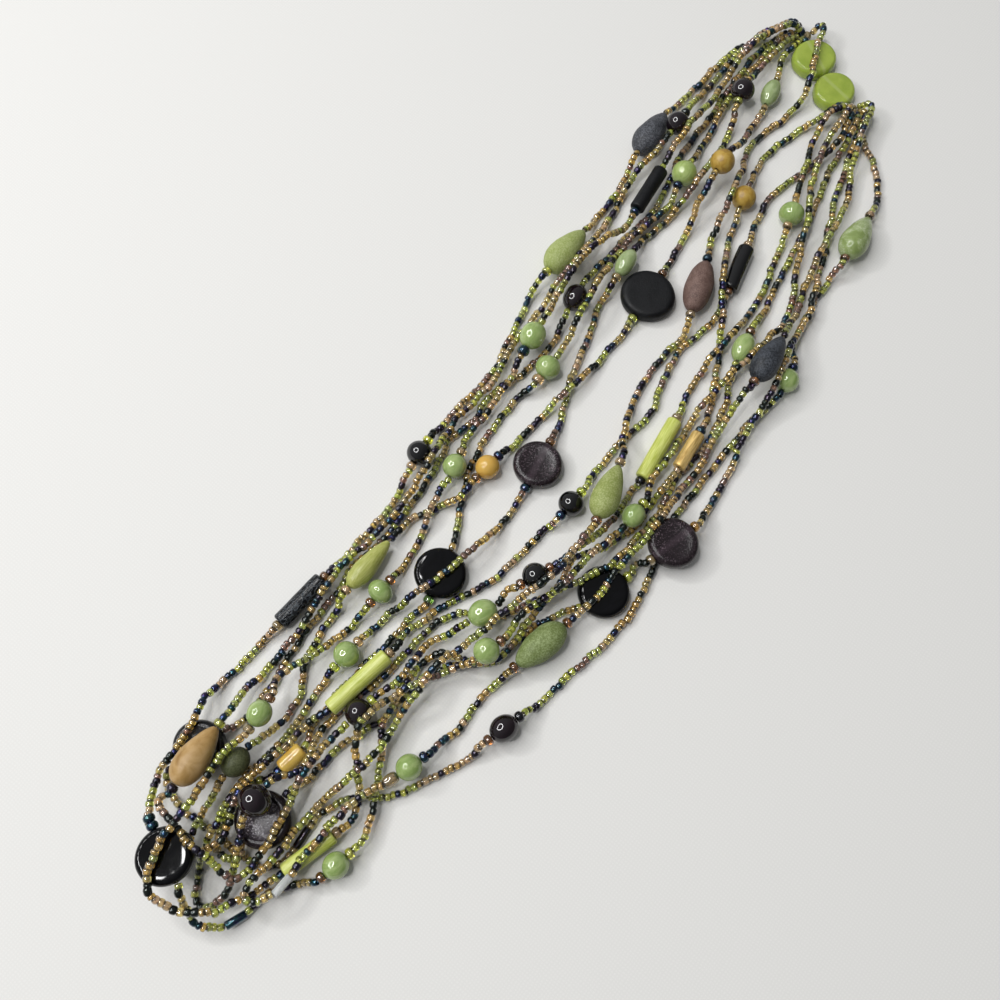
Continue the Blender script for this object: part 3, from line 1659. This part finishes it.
@dataclass
class Setting:
    """The cloth, the lights and the camera, at the photograph's angle."""

    target: Vector
    azimuth: float = 38.0
    elevation: float = 73.0
    distance: float = 0.2801
    lens: float = 36.0
    cloth_width: float = 1.8
    lamp_reach: float = 1.0
    lamp_lean: float = 38.0
    lamp_ring: float = 0.35
    lamp_width: float = 0.068
    lamp_count: int = 18
    lamp_power: float = 0.65

    def axes(self) -> tuple[Vector, Vector, Vector]:
        """Works out the camera's directions.

        Returns:
            The directions back, right and up.
        """
        a, e = math.radians(self.azimuth), math.radians(self.elevation)
        back = Vector((math.sin(a) * math.cos(e), -math.cos(a) * math.cos(e), math.sin(e)))
        right = Vector((math.cos(a), math.sin(a), 0.0))
        return back, right, back.cross(right)

    def cloth(self) -> None:
        """Lays the cloth that the necklace lies on."""
        mesh = bmesh.new()
        bmesh.ops.create_grid(mesh, x_segments=1, y_segments=1, size=self.cloth_width / 2)
        floor = put_mesh("cloth", mesh)
        floor.data.materials.append(material_of(CLOTH))

    def lamps(self) -> None:
        """Hangs a ring of soft round lamps at the upper left of the picture."""
        back, right, up = self.axes()
        lean = math.radians(self.lamp_lean)
        centre = back * math.cos(lean) + (up * 0.6 - right * 0.8) * math.sin(lean)
        side = centre.cross(up).normalized()
        over = side.cross(centre).normalized()
        for i in range(self.lamp_count):
            turn = math.tau * i / self.lamp_count
            spread = (side * math.cos(turn) + over * math.sin(turn)) * self.lamp_ring
            light = bpy.data.lights.new(f"ring_lamp_{i}", "AREA")
            light.shape = "DISK"
            light.size = self.lamp_width
            light.energy = self.lamp_power
            lamp = put(f"ring_lamp_{i}", light)
            lamp.location = self.target + centre * self.lamp_reach + spread
            lamp.rotation_euler = (lamp.location - self.target).to_track_quat("Z", "Y").to_euler()

    def sky(self) -> None:
        """Sets a pale sky that is bright where the photograph's window is."""
        _, right, up = self.axes()
        world = bpy.data.worlds.new("sky")
        bpy.context.scene.world = world
        world.use_nodes = True
        tree = world.node_tree
        way = add_node(tree, "TexCoord").outputs["Generated"]
        window = (up * 0.45 - right * 0.75 + UP * 0.25).normalized()
        near = add_node(tree, "VectorMath", way, window, operation="DOT_PRODUCT")
        level = add_node(tree, "MapRange", near, -0.6, 1.0, 0.14, 0.45, interpolation_type="SMOOTHSTEP")
        plug(tree, tree.nodes["Background"], {"Color": "#F6F8FA", "Strength": level})

    def camera(self) -> None:
        """Sets the camera at the photograph's viewing angle."""
        back, _, _ = self.axes()
        data = bpy.data.cameras.new("camera")
        data.lens = self.lens
        data.sensor_width = 36.0
        data.clip_start = 0.01
        camera = put("camera", data)
        camera.location = self.target + back * self.distance
        camera.rotation_euler = (-back).to_track_quat("-Z", "Y").to_euler()
        bpy.context.scene.camera = camera
        bpy.context.scene.view_settings.view_transform = "Standard"


def main() -> None:
    logging.basicConfig(level=logging.INFO, format="%(message)s")
    low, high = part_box("knot_thread")
    knot_radius = 1.5 * MM
    left_knot = Vector((low.x + knot_radius, high.y - knot_radius, (low.z + high.z) / 2))
    right_knot = Vector((high.x - knot_radius, low.y + knot_radius, (low.z + high.z) / 2))
    places: list[BeadPlace] = []
    pieces: list[Piece] = []
    for number, beads in enumerate(STRINGS, start=1):
        string = BeadString(StringLine.read(number, left_knot), beads, left_knot, right_knot)
        places += string.places()
        pieces += string.build()
    pieces += LargeBeads(places).build()
    pieces += GatheredEnd(left_knot, right_knot).build()
    for piece in pieces:
        LOG.info("%s: %d faces", piece.name, len(piece.data.polygons))
    # The middle of the picture, found by laying the render over the photograph
    setting = Setting(Vector((-6.37, -27.51, 0.0)) * MM)
    setting.cloth()
    setting.lamps()
    setting.sky()
    setting.camera()


if __name__ == "__main__":
    main()
